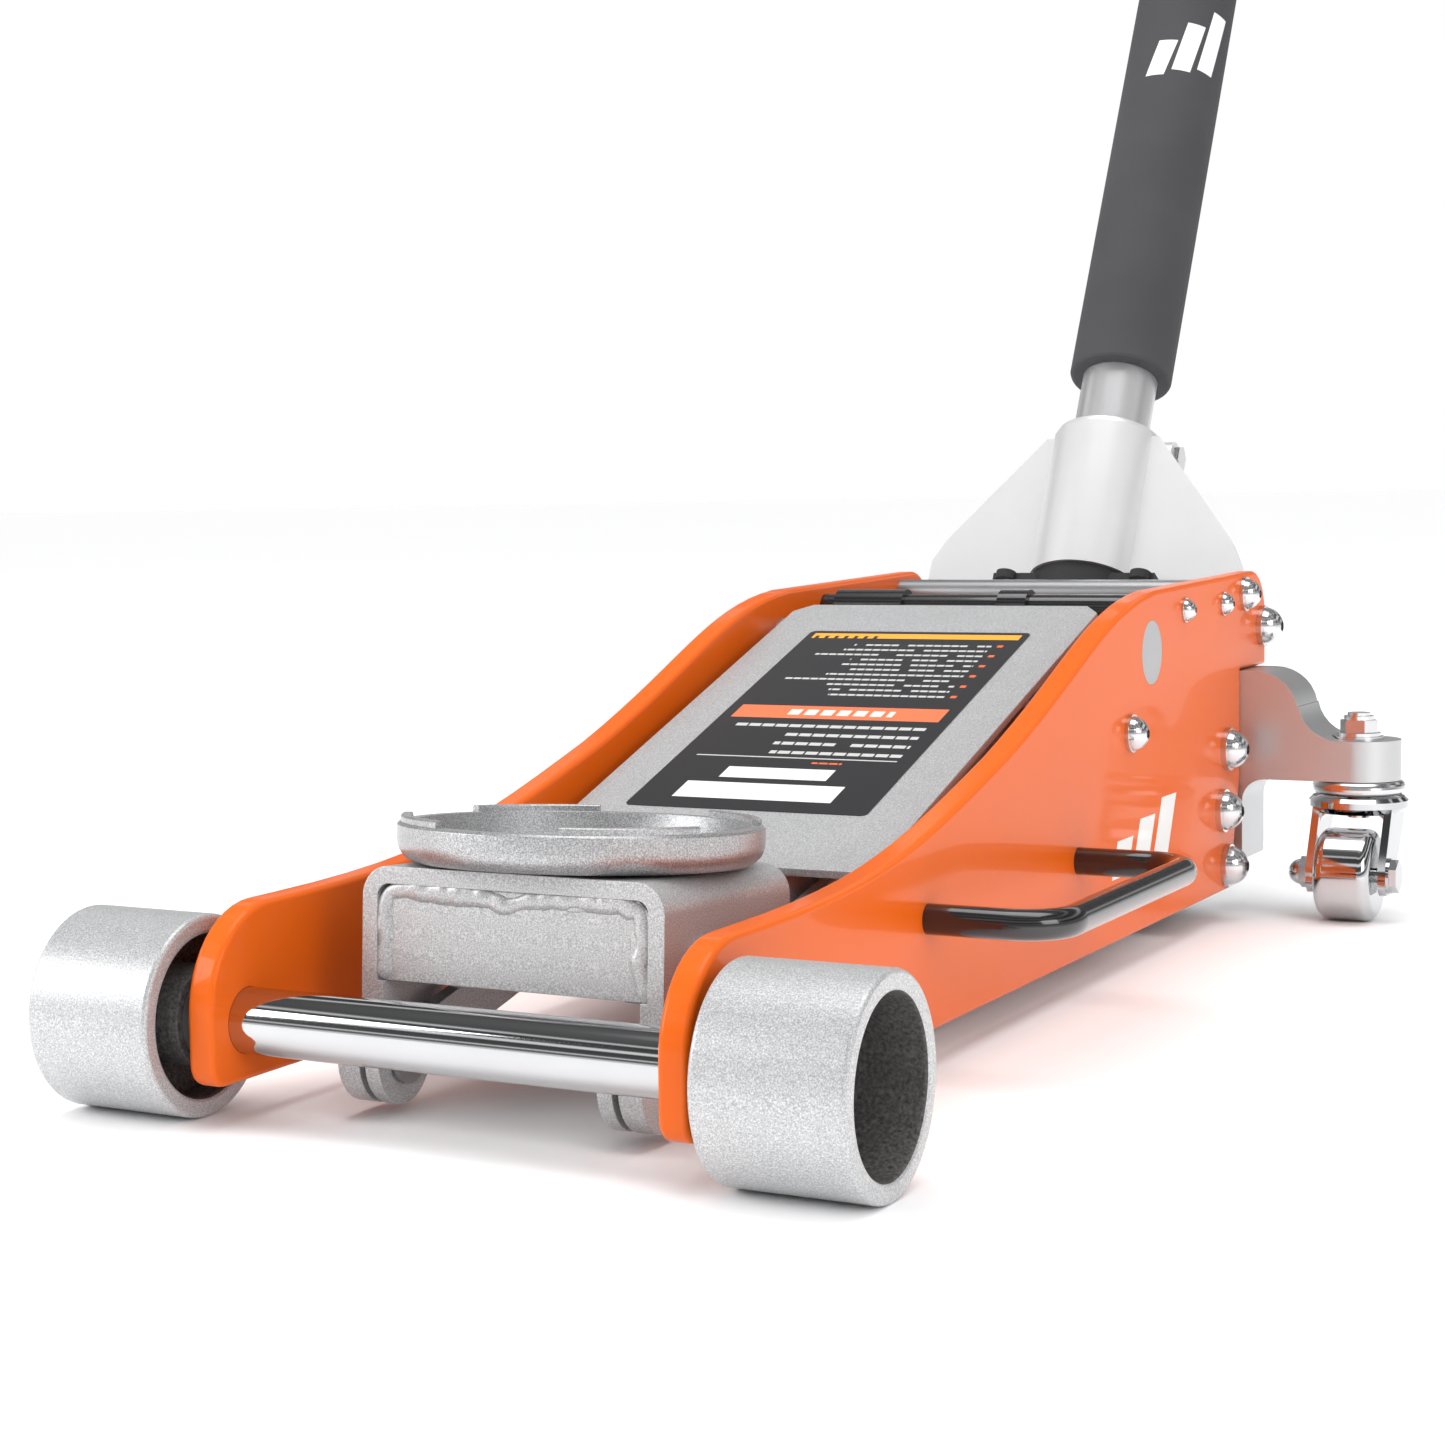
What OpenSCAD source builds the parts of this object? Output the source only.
// Low-profile hydraulic floor jack, standing lowered on its four wheels.
// X is across the jack, +Y points to the rear (handle) end, +Z is up.
// The origin is on the floor, under the centre of the bounding box.

/* [Side plates] */
// Clear width between the two side plates
plate_gap = 189; // [180:1:230]
// Thickness of each side plate
plate_t = 12; // [9:0.5:15]
// Rounding radius along the edges of the side plates
plate_edge = 2.4; // [1:0.2:4]
// Height of the side plates' lower edge above the floor
plate_low = 16.5; // [12:0.5:24]
// Height of the side plates at the nose
nose_h = 85; // [80:1:90]
// Height of the side plates at the rear
rear_h = 188.5; // [184:0.5:200]
// Radius of the nose of the side plates
nose_r = 40; // [36:1:44]

/* [Front axle and wheels] */
// Radius of the front wheels
wheel_r = 40; // [36:1:48]
// Width of the front wheels
wheel_w = 58; // [48:1:66]
// Thickness of the front wheels' rim
wheel_wall = 8; // [5:0.5:12]
// Free space between a front wheel and its side plate
wheel_gap = 7.5; // [4:0.5:14]
// Radius of the front axle
axle_r = 13; // [10:0.5:15]

/* [Lift arm] */
// Distance of the saddle bracket's pivot behind the front axle
bracket_run = 74; // [70:1:80]
// Height of the saddle bracket's pivot
bracket_pivot_h = 61; // [58:1:64]
// Horizontal length of the lift arm between its two pivots
arm_run = 422; // [350:1:510]
// Height of the lift arm's main pivot
pivot_h = 154.5; // [150:0.5:160]
// Radius of the main pivot shaft
pivot_r = 16; // [13:0.5:20]
// Radius of the saddle bracket's pivot pin
bracket_pin_r = 10; // [8:0.5:12]
// Thickness of the lift arm's two webs
web_t = 9; // [6:0.5:10]
// Half width of the lift arm's cover plate
cover_half_w = 83; // [70:1:86]
// Thickness of the cover plate
cover_t = 4; // [3:0.5:4.5]
// Length of the crank that the ram pushes
crank_len = 75; // [70:1:78]
// Full swing of the lift arm in degrees
lift_swing = 54; // [40:1:55]

/* [Levelling links] */
// Thickness of each link bar
link_t = 6.5; // [5:0.5:8]
// Radius of the link bars' front eyes and of the bracket's ears
link_eye_r = 19.3; // [16:0.1:20]
// Radius of the link pins and anchor studs
link_pin_r = 8; // [6:0.5:9]
// Distance of the link pivots in front of the arm's pivots
link_back = 35.5; // [33:0.5:38]
// Distance of the link pivots below the arm's pivots
link_drop = 37.5; // [35:0.5:39]

/* [Saddle bracket] */
// Outer width of the channel under the saddle
bracket_w = 133; // [128:1:150]
// Wall thickness of the channel
bracket_wall = 7; // [5:0.5:9]
// Outer corner radius of the channel
bracket_corner = 12; // [8:1:16]
// Nose-up tilt of the channel and saddle in degrees
bracket_tilt = 3.5; // [0:0.5:5]
// Height of the channel's top above its pivot
bracket_top = 34; // [32:1:40]
// Channel length in front of its pivot
bracket_nose = 36; // [34:1:40]
// Channel length behind its pivot
bracket_tail = 74; // [60:1:76]

/* [Saddle] */
// Outer radius of the saddle
saddle_r = 73; // [55:1:90]
// Height of the saddle's rim above the channel
saddle_h = 16; // [14:0.5:24]
// Height of the four lugs on the rim
lug_h = 2.8; // [2:0.1:6]
// Thickness of the saddle's floor
saddle_floor_t = 7; // [5:0.5:9]
// Distance of the saddle's centre behind the bracket pivot
saddle_back = 20; // [18:0.5:26]
// Radius of the saddle's turning post
saddle_post_r = 14; // [10:0.5:17]

/* [Hydraulics] */
// Radius of the ram rod
ram_rod_r = 15; // [11:0.5:18]
// Radius of the ram's bore
ram_bore_r = 24; // [21:0.5:27]
// Outer radius of the reservoir
reservoir_r = 42; // [40:0.5:45]
// Height of the ram's axis
ram_h = 84; // [82:0.5:86]
// Radius of the two pump plungers
plunger_r = 8; // [6:0.5:9]
// Sideways distance of each plunger from the centre plane
plunger_x = 18; // [17:0.5:20]

/* [Handle] */
// Lean of the handle from vertical at its upper stop, in degrees
handle_lean = 29.4; // [20:0.2:40]
// Downward pump swing of the handle in degrees
pump_swing = 50; // [30:1:55]
// Radius of the lower handle tube
tube_r = 22; // [19:0.5:24]
// Wall of the handle tubes
tube_wall = 3; // [2:0.5:4]
// Radius of the foam sleeve
sleeve_r = 30; // [26:0.5:36]
// Where the foam sleeve starts, measured up the handle from the yoke pivot
sleeve_start = 164; // [150:1:200]
// Length of the foam sleeve
sleeve_len = 396; // [250:1:420]
// Length of the whole handle, measured from the yoke pivot
handle_len = 1125; // [1000:5:1350]
// Wall of the yoke's handle socket
socket_wall = 10; // [6:0.5:12]
// Length of the yoke's handle socket
socket_len = 98; // [80:1:110]

/* [Carry handles] */
// Radius of the carry handles' rod
rod_r = 6.5; // [5:0.5:8]
// How far the carry handles' rod stands out from the side plate
carry_out = 54; // [40:1:58]
// Distance between the two legs of a carry handle
carry_len = 187; // [130:1:200]

/* [Casters] */
// Radius of the caster wheels
caster_r = 25; // [24:0.5:26]
// Width of the caster wheels
caster_w = 30; // [22:1:34]
// Trail of the caster wheels in front of their swivel axes
caster_trail = 20; // [14:1:24]
// Sideways distance of the swivel axes beyond the side plates
caster_out = 58.5; // [50:0.5:70]

/* [Hidden] */
$fn = 96;

// Clearances
run_fit = 0.05;      // radial clearance of a shaft that turns in its bore
drill_fit = 0.1;     // radial clearance of a screw in its hole
side_gap = 2.5;      // sideways space between a moving piece and its neighbour
contact_gap = 0.6;   // space kept where a roller pushes a flat face

// Distances behind the front axle
pivot_run = bracket_run + arm_run;
yoke_run = pivot_run + 200.5;
rear_edge_run = pivot_run + 159;
ear_run = pivot_run + 210;
caster_run = pivot_run + 181;
ram_front_run = pivot_run + 67;
block_front_run = pivot_run + 104;
tail_h = 135;        // height of the step between the plate's rear edge and its ear
yoke_h = pivot_h + 2.5;

// Handle end: rearmost point of the grip's flat end, for the origin
upper_tube_r = tube_r - tube_wall;
grip_r = upper_tube_r + 5.5;
handle_tip_run = yoke_run + handle_len * sin(handle_lean) + grip_r * cos(handle_lean);

// Places along Y in the jack's own frame
axle_y = (wheel_r - handle_tip_run) / 2;
bracket_y = axle_y + bracket_run;
pivot_y = axle_y + pivot_run;
yoke_y = axle_y + yoke_run;
rear_edge_y = axle_y + rear_edge_run;
ear_y = axle_y + ear_run;
caster_y = axle_y + caster_run;
ram_front_y = axle_y + ram_front_run;
block_y = axle_y + block_front_run;

// Places along X
in_x = plate_gap / 2;
out_x = in_x + plate_t;
wheel_in_x = out_x + wheel_gap;
wheel_out_x = wheel_in_x + wheel_w;
caster_x = out_x + caster_out;
channel_x = bracket_w / 2;
channel_in_x = channel_x - bracket_wall;
ear_t = bracket_wall + 3;
link_out_x = channel_x - ear_t - side_gap;
link_in_x = link_out_x - link_t;
web_out_x = link_in_x - 4;
web_in_x = web_out_x - web_t;
crank_t = 12;
crank_in_x = 20;

// Screws on the side plates: [distance behind the pivot, height from the pivot]
small_screws = [[55.5, 18.5], [125.5, 18.5]];
medium_screws = [[165.5, 22]];
bracket_holes = [[131.5, -60.5], [121.5, -93], [131.5, -124]];
small_shank_r = 3.5;
medium_shank_r = 5;
large_shank_r = 6;
link_anchor_y = pivot_y - link_back;
link_anchor_h = pivot_h - link_drop;

// ---------------------------------------------------------------- helpers

// Points along a curve from a to d, without a itself
function bezier(a, b, c, d, n) = [for (i = [1 : n])
    let (t = i / n, s = 1 - t)
    s * s * s * a + 3 * s * s * t * b + 3 * s * t * t * c + t * t * t * d];

function arc(centre, r, from, to, n) = [for (i = [0 : n])
    let (a = from + (to - from) * i / n) centre + r * [cos(a), sin(a)]];

function unit(v) = v / norm(v);
function left_of(v) = [-v[1], v[0]];

// Moves every point of a closed counter-clockwise outline inwards by d
function inset(p, d) = [for (i = [0 : len(p) - 1])
    let (m = len(p),
         n1 = left_of(unit(p[i] - p[(i + m - 1) % m])),
         n2 = left_of(unit(p[(i + 1) % m] - p[i])))
    p[i] + d * (n1 + n2) / (1 + n1 * n2)];

// A plate of the given outline, standing in the YZ plane, with rounded edges
module rounded_plate(outline, t, r, steps = 3) {
    m = len(outline);
    levels = concat(
        [for (k = [0 : steps]) [r * (1 - sin(90 * k / steps)), r * (1 - cos(90 * k / steps))]],
        [for (k = [steps : -1 : 0]) [r * (1 - sin(90 * k / steps)), t - r * (1 - cos(90 * k / steps))]]);
    rings = len(levels);
    points = [for (v = levels, q = inset(outline, v[0])) [v[1], q[0], q[1]]];
    polyhedron(points, concat(
        [[for (i = [0 : m - 1]) i]],
        [for (k = [0 : rings - 2], i = [0 : m - 1])
            [k * m + i, (k + 1) * m + i, (k + 1) * m + (i + 1) % m, k * m + (i + 1) % m]],
        [[for (i = [m - 1 : -1 : 0]) (rings - 1) * m + i]]), convexity = 6);
}

// A profile drawn in Y and Z, extruded along X from x0 to x1
module slab(x0, x1) {
    translate([x0, 0, 0]) rotate([90, 0, 90]) linear_extrude(x1 - x0) children();
}

// A cylinder along X from x0 to x1
module rod_x(x0, x1, r, y = 0, z = 0) {
    translate([x0, y, z]) rotate([0, 90, 0]) cylinder(r = r, h = x1 - x0);
}

// A cylinder along Y from y0 to y1
module rod_y(y0, y1, r, x = 0, z = 0) {
    translate([x, y0, z]) rotate([-90, 0, 0]) cylinder(r = r, h = y1 - y0);
}

module both_sides() {
    children();
    mirror([1, 0, 0]) children();
}

// Button-head screw with its washer on x = 0, its head outwards along +X
module button_screw(head_r, head_h, shank_r, shank_len, washer_r, washer_t) {
    ball_r = (head_r * head_r + head_h * head_h) / (2 * head_h);
    edge_angle = asin((ball_r - head_h) / ball_r);
    difference() {
        union() {
            rotate([0, 90, 0]) translate([0, 0, washer_t]) rotate_extrude() polygon(concat(
                [[0, 0]], arc([0, head_h - ball_r], ball_r, edge_angle, 90, 10)));
            rod_x(-shank_len, washer_t + 0.1, shank_r);
        }
        translate([washer_t + head_h * 0.5, 0, 0]) rotate([0, 90, 0])
            cylinder(r = head_r * 0.3, h = head_h, $fn = 6);
    }
    difference() {
        rod_x(0, washer_t, washer_r);
        rod_x(-1, washer_t + 1, shank_r + drill_fit);
    }
}

// A coil spring along +Z, from z = 0 to z = len
module coil(r, wire_r, len, turns) {
    steps = 16;
    sides = 6;
    m = turns * steps;
    rise = (len - 2 * wire_r) / m;
    points = [for (i = [0 : m], k = [0 : sides - 1])
        let (a = 360 * i / steps, b = 360 * k / sides, q = r + wire_r * cos(b))
        [q * cos(a), q * sin(a), wire_r + i * rise + wire_r * sin(b)]];
    polyhedron(points, concat(
        [[for (k = [0 : sides - 1]) k]],
        [for (i = [0 : m - 1], k = [0 : sides - 1])
            [i * sides + k, (i + 1) * sides + k, (i + 1) * sides + (k + 1) % sides,
             i * sides + (k + 1) % sides]],
        [[for (k = [sides - 1 : -1 : 0]) m * sides + k]]), convexity = 8);
}

// ------------------------------------------------------------ side plates

nose_c = [axle_y + 16.5, nose_h - nose_r];
ear_corner_r = 25;
nose_foot_r = 9;
tail_slope = 19;

function plate_outline() = concat(
    [[rear_edge_y - tail_slope, plate_low], [rear_edge_y, tail_h - 60], [rear_edge_y, tail_h],
     [ear_y, tail_h]],
    arc([ear_y - ear_corner_r, rear_h - ear_corner_r], ear_corner_r, 0, 84, 7),
    bezier([pivot_y + 24, rear_h - 2.5], [pivot_y - 66, rear_h - 5.5], [pivot_y - 96, rear_h - 33.5],
           [pivot_y - 206, rear_h - 66.5], 16),
    bezier([pivot_y - 206, rear_h - 66.5], [pivot_y - 306, nose_h + 10], [axle_y + 150, nose_h],
           [axle_y + 34, nose_h], 12),
    arc(nose_c, nose_r, 90, 180, 12),
    arc([nose_c[0] - nose_r + nose_foot_r, plate_low + nose_foot_r], nose_foot_r, 180, 270, 5));

module plate_holes() {
    rod_x(-1, plate_t + 1, axle_r, axle_y, wheel_r);
    rod_x(-1, plate_t + 1, pivot_r + run_fit, pivot_y, pivot_h);
    rod_x(-1, plate_t + 1, large_shank_r + drill_fit, yoke_y, yoke_h);
    rod_x(-1, plate_t + 1, medium_shank_r + drill_fit, link_anchor_y, link_anchor_h);
    for (s = small_screws)
        rod_x(-1, plate_t + 1, small_shank_r + drill_fit, pivot_y + s[0], pivot_h + s[1]);
    for (s = medium_screws)
        rod_x(-1, plate_t + 1, medium_shank_r + drill_fit, pivot_y + s[0], pivot_h + s[1]);
    for (s = bracket_holes)
        rod_x(-1, plate_t + 1, large_shank_r + drill_fit, pivot_y + s[0], pivot_h + s[1]);
}

// Narrow slot above the second small screw
module plate_slot() {
    slot_y = pivot_y + small_screws[1][0];
    translate([-1, slot_y - 1.5, rear_h - 9.5]) cube([plate_t + 2, 3, 6]);
}

module side_plate() {
    difference() {
        translate([in_x, 0, 0]) rounded_plate(plate_outline(), plate_t, plate_edge);
        translate([in_x, 0, 0]) plate_holes();
        translate([in_x, 0, 0]) plate_slot();
    }
}

module side_plate_right() color("orangered") side_plate();
module side_plate_left() color("orangered") mirror([1, 0, 0]) side_plate();

// ------------------------------------------------- front axle and wheels

hub_w = 34;
hub_r = axle_r + 7;
ring_t = 2;
axle_end_x = wheel_in_x + hub_w + 2 * ring_t + 2;

module front_axle() color("silver")
    rod_x(-axle_end_x, axle_end_x, axle_r, axle_y, wheel_r);

module axle_ring(x0, x1, r) {
    difference() {
        rod_x(x0, x1, r, axle_y, wheel_r);
        rod_x(x0 - 1, x1 + 1, axle_r, axle_y, wheel_r);
    }
}

module axle_rings() color("dimgray") both_sides() {
    axle_ring(out_x, wheel_in_x - 0.4, axle_r + 4);
    axle_ring(wheel_in_x + hub_w + 0.4, wheel_in_x + hub_w + 0.4 + ring_t, axle_r + 4);
}

// The wheel is a deep cup on both faces, with a web and a hub between them
module front_wheel() {
    bevel = 1.2;
    web_x = wheel_in_x + hub_w - 11;
    translate([wheel_in_x, axle_y, wheel_r]) rotate([0, 90, 0]) difference() {
        rotate_extrude() polygon([
            [axle_r + run_fit, 0], [hub_r, 0], [hub_r, web_x - wheel_in_x - 4],
            [wheel_r - wheel_wall, web_x - wheel_in_x - 8], [wheel_r - wheel_wall, bevel],
            [wheel_r - wheel_wall + bevel, 0], [wheel_r - bevel, 0], [wheel_r, bevel],
            [wheel_r, wheel_w - bevel], [wheel_r - bevel, wheel_w],
            [wheel_r - wheel_wall + bevel, wheel_w], [wheel_r - wheel_wall, wheel_w - bevel],
            [wheel_r - wheel_wall, web_x - wheel_in_x + 6], [hub_r, web_x - wheel_in_x + 4],
            [hub_r, hub_w], [axle_r + run_fit, hub_w]]);
    }
}

module front_wheel_right() color("lightgray") front_wheel();
module front_wheel_left() color("lightgray") mirror([1, 0, 0]) front_wheel();

// ------------------------------------------------------- frame cross parts

tie_r = 8;
tie_h = rear_h - 10.5;
collar_r = tie_r + 2.5;

module tie_rod(y, z, r, screw_r, depth) {
    difference() {
        rod_x(-in_x, in_x, r, y, z);
        both_sides() rod_x(in_x - depth, in_x + 1, screw_r + drill_fit, y, z);
    }
}

small_len = 18;
medium_len = 22;
large_len = 20;

module tie_rod_front() color("black")
    tie_rod(pivot_y + small_screws[0][0], pivot_h + small_screws[0][1], tie_r, small_shank_r,
            small_len + 1 - plate_t);

module tie_rod_rear() color("dimgray")
    tie_rod(pivot_y + medium_screws[0][0], pivot_h + medium_screws[0][1], tie_r, medium_shank_r,
            medium_len + 1 - plate_t);

module rod_collar(x0, x1, r) {
    y = pivot_y + small_screws[0][0];
    z = pivot_h + small_screws[0][1];
    difference() {
        rod_x(x0, x1, r, y, z);
        rod_x(x0 - 1, x1 + 1, tie_r, y, z);
    }
}

module tie_rod_collars() {
    color("black") rod_collar(8, 24, collar_r);
    color("black") rod_collar(-in_x + 9, -50, collar_r);
    color("orangered") rod_collar(-50, -46, collar_r);
}

// Stepped studs that carry the rear ends of the link bars
module link_anchor_studs() color("gray") both_sides() difference() {
    union() {
        rod_x(link_in_x - 1, link_out_x + 1, link_pin_r, link_anchor_y, link_anchor_h);
        rod_x(link_out_x + 1, in_x, link_pin_r + 4, link_anchor_y, link_anchor_h);
    }
    rod_x(in_x - medium_len + plate_t - 1, in_x + 1, medium_shank_r + drill_fit, link_anchor_y,
          link_anchor_h);
}

flange_t = 10;
base_t = 6;
base_z = plate_low + 2;

module base_plate() color("dimgray") {
    translate([-in_x, ram_front_y, base_z]) cube([2 * in_x, block_y + 4 - ram_front_y, base_t]);
    translate([-in_x + flange_t + 0.5, block_y + 3.9, base_z])
        cube([2 * (in_x - flange_t - 0.5), rear_edge_y - block_y + 9, base_t]);
}

// ------------------------------------------------------------- hydraulics

pump_h = yoke_h - 26.5;
ram_tube_r = ram_bore_r + 8;
block_half_w = reservoir_r + 18;
block_low = base_z + base_t;
block_top = pump_h + plunger_r + 9;
step_h = pump_h - plunger_r - 3;
wall_behind_ram = 13;
piston_len = 18;
crank_rest = lift_swing / 2 - 2;
function crank_y(a) = crank_len * sin(crank_rest - a);
ram_stroke = crank_y(0) - crank_y(lift_swing);
crank_pin_r = 8;
bush_r = crank_pin_r + 5;
pusher_y = pivot_y + crank_y(0) + bush_r + contact_gap;
pusher_t = ram_front_y - 8 - pusher_y;
gland_t = 6;
gland_y = ram_front_y - gland_t;
valve_r = 4;
valve_angle = atan2(yoke_h - pump_h, yoke_y - rear_edge_y);
valve_len = norm([yoke_y - rear_edge_y, yoke_h - pump_h]);

// Everything along the release valve's axis, measured from the yoke pivot towards the block
module along_valve() {
    translate([0, yoke_y, yoke_h]) rotate([valve_angle, 0, 0]) rotate([90, 0, 0]) children();
}

module power_unit_block() color("dimgray") difference() {
    union() {
        translate([-block_half_w, block_y, block_low])
            cube([2 * block_half_w, rear_edge_y - block_y, block_top - block_low]);
        translate([-block_half_w, rear_edge_y - 0.1, block_low])
            cube([2 * block_half_w, wall_behind_ram + 0.1, step_h - block_low]);
    }
    rod_y(block_y - 1, rear_edge_y, ram_tube_r, 0, ram_h);
    both_sides() rod_y(block_y + 12, rear_edge_y + 1, plunger_r + run_fit, plunger_x, pump_h);
    along_valve() cylinder(r = valve_r + run_fit, h = valve_len + 14);
    translate([0, block_y + 16, block_top - 8]) cylinder(r = 7, h = 9);
    translate([-block_half_w + 14, block_y + 16, block_top - 8]) cylinder(r = 7, h = 9);
}

module ram_cylinder() color("silver") difference() {
    rod_y(ram_front_y, rear_edge_y, ram_tube_r, 0, ram_h);
    rod_y(ram_front_y - 1, rear_edge_y + 1, ram_bore_r, 0, ram_h);
}

module reservoir_tube() color("dimgray") difference() {
    rod_y(ram_front_y, block_y, reservoir_r, 0, ram_h);
    rod_y(ram_front_y - 1, block_y + 1, reservoir_r - 3, 0, ram_h);
}

module cylinder_gland() color("gray") difference() {
    rod_y(gland_y, ram_front_y, reservoir_r, 0, ram_h);
    rod_y(gland_y - 1, ram_front_y + 1, ram_rod_r + run_fit, 0, ram_h);
}

module power_unit_plugs() color("silver") {
    for (x = [0, -block_half_w + 14]) translate([x, block_y + 16, block_top]) {
        translate([0, 0, -8]) cylinder(r = 7, h = 8);
        difference() {
            cylinder(r = 9, h = 5, $fn = 6);
            translate([0, 0, 2]) cylinder(r = 4, h = 4, $fn = 6);
        }
    }
}

module ram_rod() color("silver") {
    rod_y(pusher_y + pusher_t, rear_edge_y - 2 - piston_len, ram_rod_r, 0, ram_h);
    rod_y(rear_edge_y - 2 - piston_len, rear_edge_y - 2, ram_bore_r - run_fit, 0, ram_h);
}

module ram_pusher() color("gray")
    translate([-crank_in_x + 2, pusher_y, ram_h - 20]) cube([2 * crank_in_x - 4, pusher_t, 40]);

// Pump plungers: the yoke's rollers push them forward into the block
roller_arm = 28;
roller_r = 11;
roller_w = 14;
pump_rest = pump_swing / 2;
roller_y = yoke_y + roller_arm * sin(pump_rest);
roller_h = yoke_h - roller_arm * cos(pump_rest);
plunger_end_y = roller_y - roller_r - contact_gap + 0.1;
plunger_stroke = 2 * roller_arm * sin(pump_rest);
plunger_len = 56;
collar_t = 4;

module pump_plungers() color("silver") both_sides() {
    rod_y(plunger_end_y - plunger_len, plunger_end_y, plunger_r, plunger_x, pump_h);
    rod_y(plunger_end_y - 3 - collar_t, plunger_end_y - 3, plunger_r + 3, plunger_x, pump_h);
}

module plunger_springs() color("gray") both_sides()
    translate([plunger_x, rear_edge_y + 0.2, pump_h]) rotate([-90, 0, 0])
        coil(plunger_r + 1.6, 1, plunger_end_y - 3 - collar_t - rear_edge_y - 0.4, 4.5);

spring_x = crank_in_x + crank_t + 22;
spring_r = 5;

module return_springs() color("gray") both_sides()
    translate([spring_x, pivot_y + crank_y(0) + crank_pin_r + 0.3, ram_h])
        rotate([-90, 0, 0]) coil(spring_r, 0.9, block_y - pivot_y - crank_y(0) - crank_pin_r - 1, 14);

module release_valve() color("silver") along_valve() {
    sphere(6);
    cylinder(r = 3.5, h = 16);
    translate([0, 0, 15.9]) cylinder(r = 5.5, h = valve_len - 20);
    translate([0, 0, valve_len - 4.2]) cylinder(r = valve_r, h = 16);
}

// --------------------------------------------------------------- lift arm

cover_slope = 17.8;
cover_front_y = axle_y + 193;
cover_front_h = 82;
cover_len = (pivot_y - 4 - cover_front_y) / cos(cover_slope);
web_depth = 30;
pivot_boss_r = pivot_r + 3;
front_boss_r = bracket_pin_r + 6.5;
crank_pin_y = pivot_y + crank_y(0);
crank_pin_h = pivot_h - crank_len * cos(crank_rest);

module arm_web() {
    under_y = cover_front_y + cover_t * sin(cover_slope) + 1;
    under_h = cover_front_h - cover_t * cos(cover_slope) + tan(cover_slope);
    run = cover_len * cos(cover_slope) - 6;
    difference() {
        union() {
            rod_x(web_in_x, web_out_x, pivot_boss_r, pivot_y, pivot_h);
            rod_x(web_in_x, web_out_x, front_boss_r, bracket_y, bracket_pivot_h);
            slab(web_in_x, web_out_x) polygon([
                [bracket_y, bracket_pivot_h - front_boss_r + 0.5],
                [under_y, under_h - web_depth],
                [pivot_y, pivot_h - pivot_boss_r + 0.5],
                [pivot_y, pivot_h + pivot_boss_r - 0.5],
                [under_y + run, under_h + run * tan(cover_slope)],
                [under_y, under_h],
                [bracket_y, bracket_pivot_h + front_boss_r - 0.5]]);
        }
        rod_x(web_in_x - 1, web_out_x + 1, pivot_r, pivot_y, pivot_h);
        rod_x(web_in_x - 1, web_out_x + 1, bracket_pin_r + run_fit, bracket_y, bracket_pivot_h);
    }
}

module crank_lever() {
    dir = [cos(crank_rest), sin(crank_rest)];
    difference() {
        union() {
            rod_x(crank_in_x, crank_in_x + crank_t, pivot_boss_r, pivot_y, pivot_h);
            rod_x(crank_in_x, crank_in_x + crank_t, crank_pin_r + 6, crank_pin_y, crank_pin_h);
            slab(crank_in_x, crank_in_x + crank_t) polygon([
                [pivot_y, pivot_h] + (pivot_boss_r - 2) * dir,
                [pivot_y, pivot_h] - (pivot_boss_r - 2) * dir,
                [crank_pin_y, crank_pin_h] - (crank_pin_r + 5) * dir,
                [crank_pin_y, crank_pin_h] + (crank_pin_r + 5) * dir]);
        }
        rod_x(crank_in_x - 1, crank_in_x + crank_t + 1, pivot_r, pivot_y, pivot_h);
        rod_x(crank_in_x - 1, crank_in_x + crank_t + 1, crank_pin_r, crank_pin_y, crank_pin_h);
    }
}

module lift_arm() color("silver") {
    both_sides() {
        arm_web();
        crank_lever();
    }
    difference() {
        rod_x(-web_in_x - 0.1, web_in_x + 0.1, pivot_boss_r - 0.5, pivot_y, pivot_h);
        rod_x(-web_in_x - 1, web_in_x + 1, pivot_r, pivot_y, pivot_h);
    }
}

module lift_arm_cover() color("lightgray")
    translate([0, cover_front_y, cover_front_h]) rotate([cover_slope, 0, 0]) difference() {
        translate([-cover_half_w, 0, -cover_t]) cube([2 * cover_half_w, cover_len, cover_t]);
        both_sides() translate([cover_half_w - 9, cover_len - 7, -cover_t - 1])
            linear_extrude(cover_t + 2) polygon([[0, 8], [10, 8], [10, -4]]);
    }

module lift_pivot_shaft() color("gray")
    rod_x(-out_x, out_x, pivot_r, pivot_y, pivot_h);

module crank_pin() color("silver")
    rod_x(-spring_x - 4, spring_x + 4, crank_pin_r, crank_pin_y, crank_pin_h);

module crank_bush() color("gray") difference() {
    rod_x(-crank_in_x + 1, crank_in_x - 1, bush_r, crank_pin_y, crank_pin_h);
    rod_x(-crank_in_x, crank_in_x, crank_pin_r, crank_pin_y, crank_pin_h);
}

// ---------------------------------------------------------- saddle bracket

// Everything on the bracket is drawn about its pivot and then tilted nose-up
module on_bracket() {
    translate([0, bracket_y, bracket_pivot_h]) rotate([-bracket_tilt, 0, 0]) children();
}

// Place of the link pivot in the bracket's own tilted frame: [along, up]
link_local = [-link_back * cos(bracket_tilt) + link_drop * sin(bracket_tilt),
              -link_back * sin(bracket_tilt) - link_drop * cos(bracket_tilt)];
wall_low = -19;
plate_recess = 2;
front_plate_t = 6;
front_plate_low = -11;
pin_gap = 0.8;       // clearance in the opened joint between link bar and bracket

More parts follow.
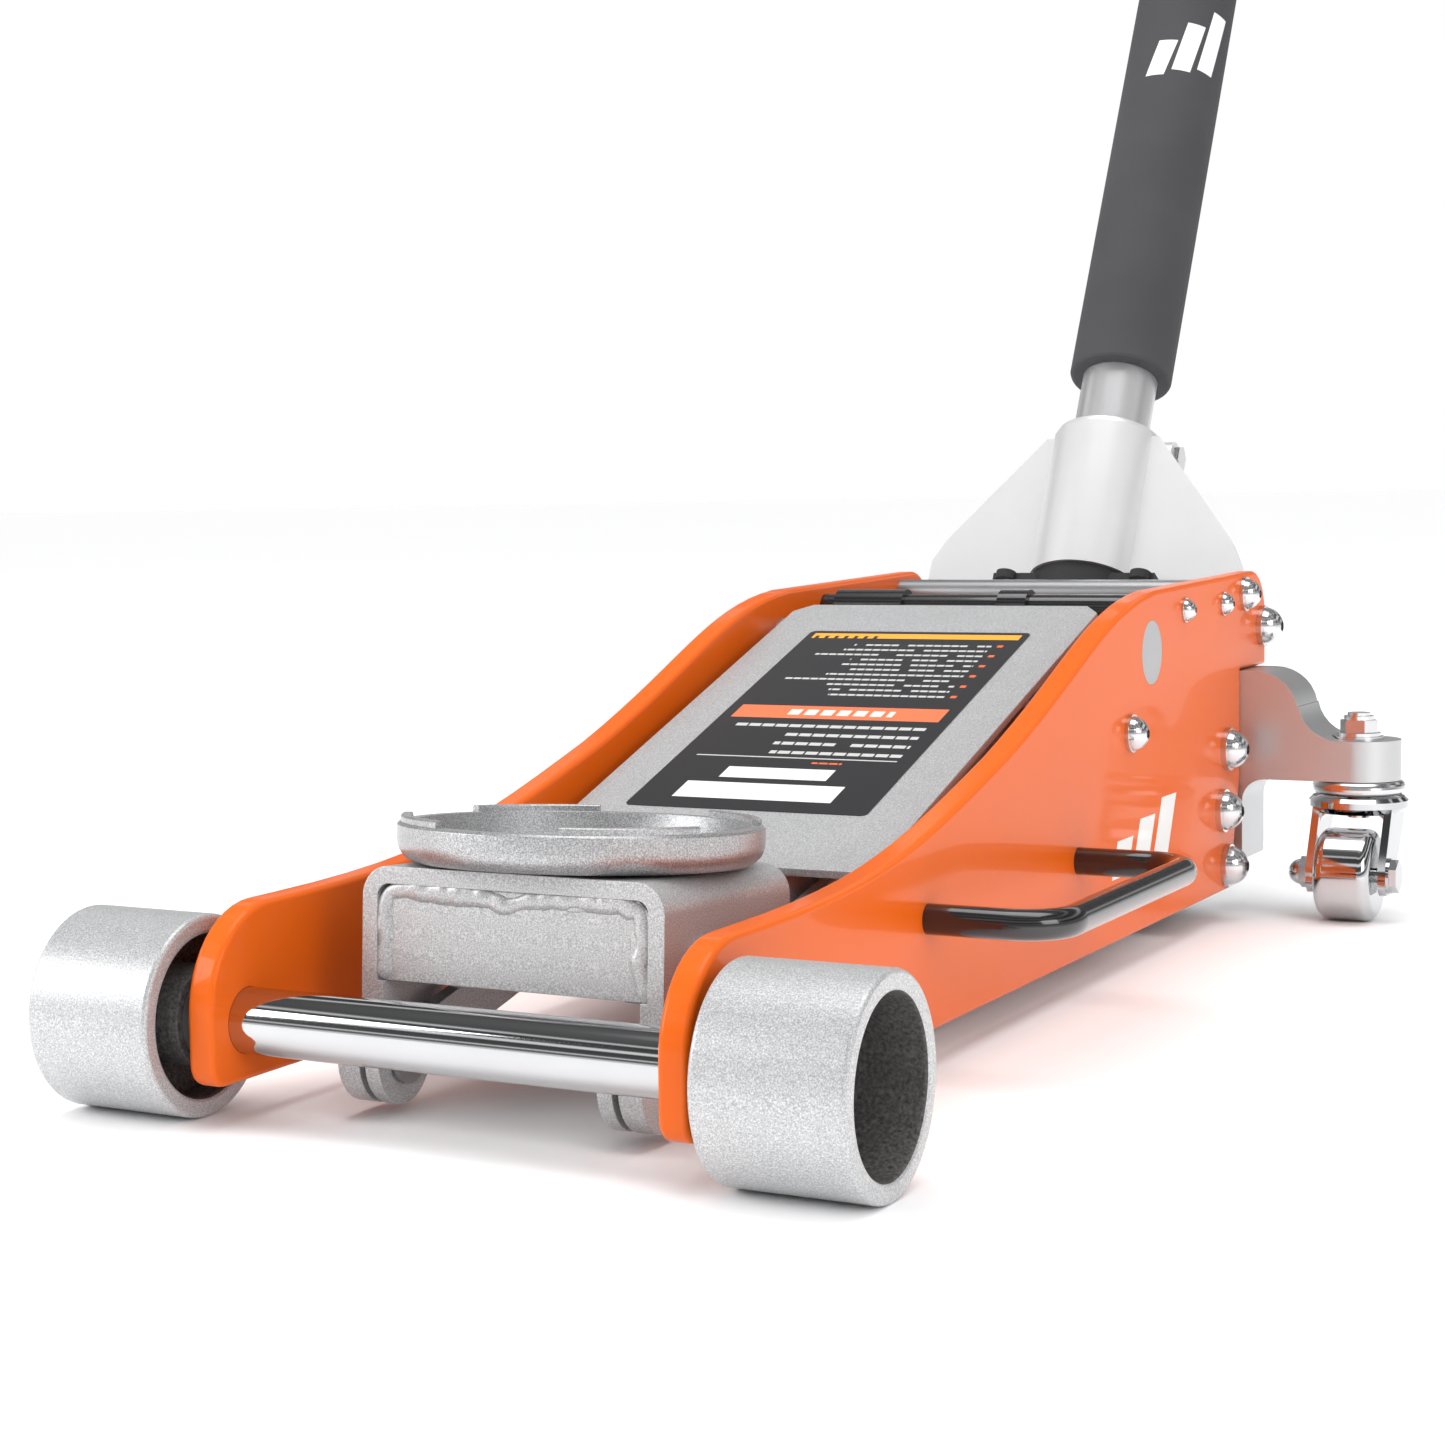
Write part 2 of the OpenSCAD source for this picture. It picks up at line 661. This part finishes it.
module channel_section() {
    inner_r = max(bracket_corner - bracket_wall, 0.5);
    difference() {
        union() {
            translate([-channel_x, wall_low]) square([2 * channel_x, bracket_top - wall_low - bracket_corner]);
            translate([-channel_x + bracket_corner, wall_low])
                square([2 * (channel_x - bracket_corner), bracket_top - wall_low]);
            for (s = [-1, 1]) translate([s * (channel_x - bracket_corner), bracket_top - bracket_corner])
                circle(bracket_corner);
        }
        translate([-channel_in_x, wall_low - 1])
            square([2 * channel_in_x, bracket_top - wall_low - bracket_wall + 1 - inner_r]);
        translate([-channel_in_x + inner_r, wall_low - 1])
            square([2 * (channel_in_x - inner_r), bracket_top - wall_low - bracket_wall + 1]);
        for (s = [-1, 1])
            translate([s * (channel_in_x - inner_r), bracket_top - bracket_wall - inner_r]) circle(inner_r);
    }
}

post_low = bracket_pin_r + 1.5;
boss_low = post_low + 3.5;

module saddle_bracket() color("lightgray") on_bracket() difference() {
    union() {
        translate([0, bracket_tail, 0]) rotate([90, 0, 0])
            linear_extrude(bracket_tail + bracket_nose) channel_section();
        both_sides() {
            rod_x(channel_x - ear_t, channel_x, link_eye_r, link_local[0], link_local[1]);
            slab(channel_x - ear_t, channel_x) polygon([
                [-bracket_nose, front_plate_low], [-bracket_nose, wall_low - 3],
                link_local + link_eye_r * [cos(160), sin(160)],
                link_local + link_eye_r * [cos(-20), sin(-20)],
                [2, wall_low - 6], [10, wall_low + 1], [10, front_plate_low]]);
        }
        translate([0, saddle_back, boss_low]) cylinder(r = saddle_post_r + 8, h = bracket_top - boss_low - 1);
    }
    // the walls slope up towards the rear
    slab(-channel_x - 1, channel_x + 1) polygon([
        [22, wall_low - 1], [bracket_tail + 1, bracket_top - 22], [bracket_tail + 1, wall_low - 1]]);
    rod_x(-channel_x - 1, channel_x + 1, bracket_pin_r);
    rod_x(-channel_x - 1, channel_x + 1, link_pin_r, link_local[0], link_local[1]);
    translate([0, saddle_back, boss_low - 1]) cylinder(r = saddle_post_r + run_fit, h = bracket_top);
}

module bracket_front_plate() color("lightgray") on_bracket()
    translate([-channel_in_x, -bracket_nose + plate_recess, front_plate_low])
        intersection() {
            cube([2 * channel_in_x, front_plate_t, bracket_top - bracket_wall - front_plate_low]);
            translate([0, -1, 0]) rotate([-90, 0, 0]) linear_extrude(front_plate_t + 2)
                polygon([[0, 0], [2 * channel_in_x, 0],
                         [2 * channel_in_x, -(bracket_top - bracket_wall - front_plate_low - 5)],
                         [2 * channel_in_x - 5, -(bracket_top - bracket_wall - front_plate_low)],
                         [5, -(bracket_top - bracket_wall - front_plate_low)],
                         [0, -(bracket_top - bracket_wall - front_plate_low - 5)]]);
        }

module bracket_pin() color("silver") on_bracket() {
    rod_x(-channel_x, channel_x, bracket_pin_r);
    both_sides() rod_x(channel_x, channel_x + 3, bracket_pin_r + 3);
}

module link_front_pins() color("gray") on_bracket() both_sides() {
    rod_x(link_in_x - 1, channel_x, link_pin_r, link_local[0], link_local[1]);
    rod_x(link_in_x - 3, link_in_x - 1, link_pin_r + 3, link_local[0], link_local[1]);
}

module link_bars() color("gray") both_sides() {
    front = [bracket_y - link_back, bracket_pivot_h - link_drop];
    rear = [link_anchor_y, link_anchor_h];
    rise = unit(left_of(rear - front));
    difference() {
        union() {
            rod_x(link_in_x, link_out_x, link_eye_r, front[0], front[1]);
            rod_x(link_in_x, link_out_x, link_pin_r + 6, rear[0], rear[1]);
            slab(link_in_x, link_out_x)
                polygon([front - 10 * rise, rear - 10 * rise, rear + 10 * rise, front + 10 * rise]);
        }
        rod_x(link_in_x - 1, link_out_x + 1, link_pin_r + pin_gap, front[0], front[1]);
        rod_x(link_in_x - 1, link_out_x + 1, link_pin_r + run_fit, rear[0], rear[1]);
    }
}

// ----------------------------------------------------------------- saddle

saddle_lift = 0.5;
rim_w = 6;
lug_angle = 46;

module saddle() color("lightgray") on_bracket() translate([0, saddle_back, bracket_top + saddle_lift]) {
    foot_r = saddle_r * 0.74;
    floor_r = saddle_r - rim_w - 4;
    difference() {
        rotate_extrude() polygon(concat(
            [[0, 0], [foot_r, 0]],
            arc([saddle_r - 9, 9], 9, -65, 0, 5),
            [[saddle_r, saddle_h - 1], [saddle_r - 1, saddle_h], [saddle_r - rim_w, saddle_h]],
            [[floor_r, saddle_floor_t], [0, saddle_floor_t]]));
        translate([0, 0, -1]) cylinder(r = saddle_post_r - 4, h = 4);
    }
    lug_out = saddle_r - 1.5;
    lug_in = saddle_r - rim_w + 0.5;
    for (k = [0 : 3]) rotate([0, 0, 22 + 90 * k]) rotate_extrude(angle = lug_angle)
        polygon([[lug_in, saddle_h - 1], [lug_out, saddle_h - 1], [lug_out, saddle_h + lug_h - 0.6],
                 [lug_out - 0.6, saddle_h + lug_h], [lug_in + 0.6, saddle_h + lug_h],
                 [lug_in, saddle_h + lug_h - 0.6]]);
}

module saddle_post() color("gray") on_bracket() translate([0, saddle_back, 0]) {
    difference() {
        translate([0, 0, post_low]) cylinder(r = saddle_post_r, h = bracket_top + saddle_lift - post_low);
        translate([0, 0, post_low + 1]) difference() {
            cylinder(r = saddle_post_r + 1, h = 1.6);
            translate([0, 0, -1]) cylinder(r = saddle_post_r - 1.5, h = 4);
        }
    }
    translate([0, 0, bracket_top + saddle_lift - 0.1]) cylinder(r = saddle_post_r - 4, h = 3.1);
}

module saddle_post_ring() color("silver") on_bracket() translate([0, saddle_back, post_low + 1]) difference() {
    cylinder(r = saddle_post_r + 3, h = 1.6);
    translate([0, 0, -1]) cylinder(r = saddle_post_r - 1.5, h = 4);
    translate([-3, 0, -1]) cube([6, saddle_post_r + 5, 4]);
}

// ------------------------------------------------------------- handle yoke

// Everything on the yoke and handle is drawn upright about the yoke pivot and then leant back
module on_yoke() {
    translate([0, yoke_y, yoke_h]) rotate([-handle_lean, 0, 0]) children();
}

socket_r = tube_r + socket_wall;
socket_low = 26;
socket_top = socket_low + socket_len;
yoke_half_w = in_x - side_gap;
yoke_t = 12;
yoke_ear_t = 12;
lug_in_x = plunger_x + roller_w / 2 + 5;
lug_t = 8;
cup_r = 11;
roller_local = [roller_arm * sin(pump_rest + handle_lean), -roller_arm * cos(pump_rest + handle_lean)];
clamp_h = socket_top - 14;
clamp_r = 5;

module yoke_face() {
    polygon([[-yoke_half_w, 5], [yoke_half_w, 5], [yoke_half_w, 36], [yoke_half_w - 7, 50],
             [socket_r + 2, socket_top - 6], [-socket_r - 2, socket_top - 6],
             [-yoke_half_w + 7, 50], [-yoke_half_w, 36]]);
}

module handle_yoke() color("gainsboro") on_yoke() difference() {
    union() {
        rotate([90, 0, 0]) linear_extrude(yoke_t) yoke_face();
        translate([0, 0, socket_low]) rotate_extrude() polygon([
            [0, 0], [socket_r, 0], [socket_r, socket_len - 5], [socket_r - 1.5, socket_len - 1.5],
            [socket_r - 5, socket_len], [0, socket_len]]);
        both_sides() {
            rod_x(yoke_half_w - yoke_ear_t, yoke_half_w, 20);
            translate([yoke_half_w - yoke_ear_t, -yoke_t, 0]) cube([yoke_ear_t, 2 * yoke_t, 34]);
            slab(lug_in_x, lug_in_x + lug_t) polygon([
                [-yoke_t, 26], [-yoke_t, 6], roller_local + [-9, -7], roller_local + [9, 7], [0, 26]]);
            rod_x(lug_in_x, lug_in_x + lug_t, roller_r, roller_local[0], roller_local[1]);
        }
        rod_x(socket_r - 5, socket_r + 9, clamp_r + 5, 2, clamp_h);
    }
    translate([0, 0, -30]) cylinder(r = tube_r + run_fit, h = socket_top + 40);
    both_sides() {
        rod_x(yoke_half_w - yoke_ear_t - 1, yoke_half_w + 1, large_shank_r + run_fit);
        rod_x(lug_in_x - 1, lug_in_x + lug_t + 1, 6, roller_local[0], roller_local[1]);
    }
    rod_x(tube_r - 2, socket_r + 10, clamp_r, 2, clamp_h);
    rod_x(socket_r + 9, socket_r + 60, clamp_r + 4, 2, clamp_h);
}

module yoke_rubber_boot() color("black") on_yoke() difference() {
    union() {
        translate([-48, -yoke_t - 9, socket_low - 8]) cube([96, 9, 5]);
        for (s = [-1, 1]) translate([s * 40, -yoke_t - 9, socket_low - 8]) cylinder(r = 6, h = 5);
        translate([0, 0, socket_low - 13]) cylinder(r = socket_r - 2, h = 13);
    }
    translate([-60, -yoke_t, -10]) cube([120, 80, 60]);
    translate([0, 0, -10]) cylinder(r = tube_r + run_fit, h = 60);
}

module pump_roller_pin() color("silver") on_yoke()
    rod_x(-lug_in_x - lug_t, lug_in_x + lug_t, 6, roller_local[0], roller_local[1]);

module pump_rollers() color("gray") on_yoke() both_sides() difference() {
    rod_x(plunger_x - roller_w / 2, plunger_x + roller_w / 2, roller_r, roller_local[0], roller_local[1]);
    rod_x(0, 2 * plunger_x, 6 + run_fit, roller_local[0], roller_local[1]);
}

module handle_clamp_screw() color("silver") on_yoke() translate([0, 2, clamp_h]) {
    rod_x(tube_r + 0.6, socket_r + 9.1, clamp_r);
    translate([socket_r + 9, 0, 0]) rotate([0, 90, 0]) cylinder(r = clamp_r + 3, h = 4, $fn = 6);
}

module handle_valve_cup() color("gray") on_yoke() difference() {
    union() {
        translate([0, 0, -1]) cylinder(r = cup_r, h = 14);
        translate([0, 0, 12]) cylinder(r = 8, h = 20);
        translate([0, 0, socket_low + 5]) cylinder(r = tube_r - tube_wall, h = 12);
    }
    translate([0, 0, -2]) cylinder(r = 6.5, h = 9);
}

// ----------------------------------------------------------------- handle

joint_len = 80;
sleeve_end = sleeve_start + sleeve_len;
lower_end = sleeve_end + 60;
grip_len = 140;
button_v = lower_end - 26;
button_r = 5;

module tube_z(z0, z1, r, r_in) {
    translate([0, 0, z0]) difference() {
        cylinder(r = r, h = z1 - z0);
        translate([0, 0, -1]) cylinder(r = r_in, h = z1 - z0 + 2);
    }
}

module handle_lower_tube() color("lightgray") on_yoke() difference() {
    tube_z(socket_low + 5, lower_end, tube_r, tube_r - tube_wall);
    translate([0, 0, button_v]) rotate([90, 0, 0]) cylinder(r = button_r + run_fit, h = tube_r + 2);
}

module foam_sleeve() color("black") on_yoke() difference() {
    translate([0, 0, sleeve_start]) rotate_extrude() polygon([
        [tube_r, 0], [sleeve_r - 2, 0], [sleeve_r - 0.6, 0.6], [sleeve_r, 2], [sleeve_r, sleeve_len - 2],
        [sleeve_r - 0.6, sleeve_len - 0.6], [sleeve_r - 2, sleeve_len], [tube_r, sleeve_len]]);
}

module handle_upper_tube() color("lightgray") on_yoke() difference() {
    tube_z(lower_end - joint_len, handle_len - 4, upper_tube_r, upper_tube_r - tube_wall);
    translate([0, 0, button_v]) rotate([90, 0, 0]) cylinder(r = button_r + run_fit, h = tube_r + 2);
}

module handle_grip() color("black") on_yoke() translate([0, 0, handle_len - grip_len]) difference() {
    rotate_extrude() polygon([
        [0, 0], [grip_r - 1.5, 0], [grip_r, 1.5], [grip_r, grip_len], [0, grip_len]]);
    translate([0, 0, -1]) cylinder(r = upper_tube_r, h = grip_len - 3);
}

button_low = upper_tube_r - tube_wall - 3;

module handle_lock_button() color("silver") on_yoke() translate([0, 0, button_v]) rotate([90, 0, 0])
    translate([0, 0, button_low]) cylinder(r = button_r, h = tube_r + 3 - button_low);

// ----------------------------------------------------------- carry handles

bend_r = 20;
carry_y = axle_y + 196;
carry_h = 64;

module carry_handle() translate([out_x, carry_y, carry_h]) {
    leg = carry_out - bend_r;
    run = carry_len - 2 * bend_r;
    rod_x(0, leg, rod_r);
    rod_x(0, leg, rod_r, carry_len);
    rod_y(bend_r, bend_r + run, rod_r, carry_out);
    translate([leg, bend_r, 0]) rotate([0, 0, -90]) rotate_extrude(angle = 90)
        translate([bend_r, 0]) circle(rod_r, $fn = 48);
    translate([leg, bend_r + run, 0]) rotate_extrude(angle = 90)
        translate([bend_r, 0]) circle(rod_r, $fn = 48);
}

module carry_handle_right() color("black") carry_handle();
module carry_handle_left() color("black") mirror([1, 0, 0]) carry_handle();

// ------------------------------------------------------ plate screws, bolts

module screw_at(y, z) {
    translate([out_x, y, z]) children();
}

module plate_screws() color("silver") both_sides() {
    for (s = small_screws) screw_at(pivot_y + s[0], pivot_h + s[1])
        button_screw(5.8, 5, small_shank_r, small_len, 6.4, 1);
    for (s = medium_screws) screw_at(pivot_y + s[0], pivot_h + s[1])
        button_screw(8.5, 7.4, medium_shank_r, medium_len, 9.4, 2);
    screw_at(link_anchor_y, link_anchor_h) button_screw(8.5, 7.4, medium_shank_r, medium_len, 9.4, 2);
}

module bracket_screws() color("silver") both_sides()
    for (s = bracket_holes) screw_at(pivot_y + s[0], pivot_h + s[1])
        button_screw(10.5, 9.2, large_shank_r, large_len, 11.6, 3);

module yoke_pivot_bolts() color("silver") both_sides() {
    screw_at(yoke_y, yoke_h)
        button_screw(10.5, 9.2, large_shank_r, plate_t + side_gap + yoke_ear_t, 11.6, 3);
    difference() {
        rod_x(yoke_half_w + 0.4, in_x, 11, yoke_y, yoke_h);
        rod_x(yoke_half_w - 1, in_x + 1, large_shank_r + drill_fit, yoke_y, yoke_h);
    }
}

// ---------------------------------------------------------------- casters

boss_r = 22;
boss_low_h = 75;
boss_high_h = 97;
race_h = 8;
fork_gap = 2;
fork_t = 4;
crown_r = 26;
crown_t = 9;
race_r = 24.5;
kingpin_r = 6;
nut_r = 10;
spot_r = 14;
caster_axle_r = 4;
fork_top = boss_low_h - race_h - 1;
fork_inner = caster_w / 2 + fork_gap;

module caster_bracket() {
    bulge_r = 23;
    hollow_r = 22;
    difference() {
        union() {
            translate([0, rear_edge_y + 0.2 + 2 * boss_r, 0]) rotate([90, 0, 0]) linear_extrude(2 * boss_r)
                polygon(concat(
                    [[in_x - flange_t, 30], [out_x + 1, 30]],
                    arc([out_x + 13, boss_low_h - 12], 12, 180, 90, 6),
                    [[caster_x, boss_low_h], [caster_x, boss_high_h]],
                    arc([out_x + 8 + bulge_r + hollow_r, boss_high_h + hollow_r], hollow_r, -90, -170, 7),
                    arc([out_x + 8, tail_h - 0.5 - bulge_r], bulge_r, 10, 90, 7),
                    [[in_x - flange_t, tail_h - 0.5]]));
            translate([caster_x, caster_y + 0.2, boss_low_h]) cylinder(r = boss_r, h = boss_high_h - boss_low_h);
            translate([in_x - flange_t, pivot_y + 109, plate_low + 6])
                cube([flange_t, rear_edge_y - pivot_y - 108, 89]);
        }
        for (s = bracket_holes)
            rod_x(in_x - flange_t - 1, in_x + 1, large_shank_r + drill_fit, pivot_y + s[0], pivot_h + s[1]);
        translate([caster_x, caster_y, boss_low_h - 1]) cylinder(r = kingpin_r, h = 40);
        translate([caster_x, caster_y, boss_high_h]) cylinder(r = spot_r, h = 30);
    }
}

module caster_bracket_right() color("silver") caster_bracket();
module caster_bracket_left() color("silver") mirror([1, 0, 0]) caster_bracket();

// Kingpin bolt with its head and washer on top, and the fixed upper race
module caster_kingpins() color("silver") both_sides() translate([caster_x, caster_y, 0]) {
    translate([0, 0, fork_top - 12]) cylinder(r = kingpin_r, h = boss_high_h - fork_top + 12.1);
    translate([0, 0, boss_high_h]) cylinder(r = 13, h = 1.6);
    translate([0, 0, boss_high_h + 1.5]) cylinder(r = 11.5, h = 2);
    translate([0, 0, boss_high_h + 3.4]) cylinder(r = nut_r, h = 7, $fn = 6);
    translate([0, 0, boss_high_h + 10.3]) cylinder(r = nut_r - 2.2, h = 2.4);
    translate([0, 0, boss_high_h + 12.6]) cylinder(r = kingpin_r, h = 1.8);
    translate([0, 0, boss_low_h - race_h]) rotate_extrude() polygon(concat(
        [[kingpin_r - 0.1, 0]],
        arc([race_r - race_h / 2, race_h / 2], race_h / 2, -90, 90, 10),
        [[kingpin_r - 0.1, race_h]]));
}

// The fork's crown turns on the kingpin; its two legs reach down outside the wheel
module caster_fork() translate([caster_x, caster_y, 0]) difference() {
    leg_low = caster_r - 10;
    leg_half = 14;
    web_r = 5;
    web_top = fork_top - crown_t;
    union() {
        rotate_extrude() polygon([
            [kingpin_r + run_fit, fork_top - crown_t], [crown_r - 4, fork_top - crown_t],
            [crown_r, fork_top - 5.5], [crown_r, fork_top - 2], [crown_r - 2, fork_top],
            [kingpin_r + run_fit, fork_top]]);
        for (s = [0, 1]) mirror([s, 0, 0]) {
            slab(fork_inner, fork_inner + fork_t) polygon([
                [leg_half, fork_top - 4], [-leg_half, fork_top - 4], [-caster_trail - 10, caster_r + 5],
                [-caster_trail - 10, leg_low + 4], [-caster_trail - 6, leg_low],
                [-caster_trail + 6, leg_low], [-caster_trail + 10, leg_low + 4], [leg_half, fork_top - 14]]);
            translate([0, leg_half, 0]) rotate([90, 0, 0]) linear_extrude(2 * leg_half) polygon(concat(
                [[fork_inner + 0.5, web_top + 0.5], [fork_inner - web_r, web_top + 0.5]],
                arc([fork_inner - web_r, web_top - web_r], web_r, 90, 0, 6),
                [[fork_inner + 0.5, web_top - web_r]]));
        }
    }
    rod_x(-40, 40, caster_axle_r, -caster_trail, caster_r);
}

module caster_fork_right() color("silver") caster_fork();
module caster_fork_left() color("silver") mirror([1, 0, 0]) caster_fork();

module caster_wheel() {
    shoulder = 6;
    half = caster_w / 2;
    translate([caster_x, caster_y - caster_trail, caster_r]) rotate([0, 90, 0]) rotate_extrude()
        polygon(concat(
            [[caster_axle_r + run_fit, -half], [caster_r - shoulder, -half]],
            arc([caster_r - shoulder, -half + shoulder], shoulder, -90, 0, 5),
            arc([caster_r - shoulder, half - shoulder], shoulder, 0, 90, 5),
            [[caster_axle_r + run_fit, half]]));
}

module caster_wheel_right() color("silver") caster_wheel();
module caster_wheel_left() color("silver") mirror([1, 0, 0]) caster_wheel();

module caster_axle() translate([caster_x, caster_y - caster_trail, caster_r]) {
    reach = fork_inner + fork_t;
    dome_r = 7.6;
    rod_x(-reach - 5, reach + 3, caster_axle_r);
    rod_x(reach, reach + 1.4, 9.6);
    translate([reach + 1.3, 0, 0]) rotate([0, 90, 0]) cylinder(r = 9, h = 3.7, $fn = 6);
    translate([-reach, 0, 0]) rotate([0, -90, 0]) {
        cylinder(r = 8.6, h = 4.5, $fn = 6);
        rotate_extrude() polygon(concat([[0, 4]], arc([0, 4.4], dome_r - 0.6, 0, 90, 9)));
    }
}

module caster_axle_right() color("silver") caster_axle();
module caster_axle_left() color("silver") mirror([1, 0, 0]) caster_axle();

side_plate_right();
side_plate_left();
front_axle();
axle_rings();
tie_rod_front();
tie_rod_collars();
tie_rod_rear();
link_anchor_studs();
base_plate();
power_unit_block();
ram_cylinder();
reservoir_tube();
cylinder_gland();
power_unit_plugs();
plate_screws();
bracket_screws();
yoke_pivot_bolts();
carry_handle_right();
carry_handle_left();
caster_bracket_right();
caster_bracket_left();
caster_kingpins();
plunger_springs();
return_springs();
lift_arm();
lift_arm_cover();
lift_pivot_shaft();
crank_pin();
crank_bush();
saddle_bracket();
bracket_front_plate();
bracket_pin();
link_front_pins();
saddle();
saddle_post();
saddle_post_ring();
link_bars();
ram_rod();
ram_pusher();
pump_plungers();
handle_yoke();
yoke_rubber_boot();
pump_roller_pin();
pump_rollers();
handle_clamp_screw();
handle_lower_tube();
handle_upper_tube();
foam_sleeve();
handle_grip();
handle_valve_cup();
handle_lock_button();
release_valve();
front_wheel_right();
front_wheel_left();
caster_fork_right();
caster_fork_left();
caster_wheel_right();
caster_wheel_left();
caster_axle_right();
caster_axle_left();
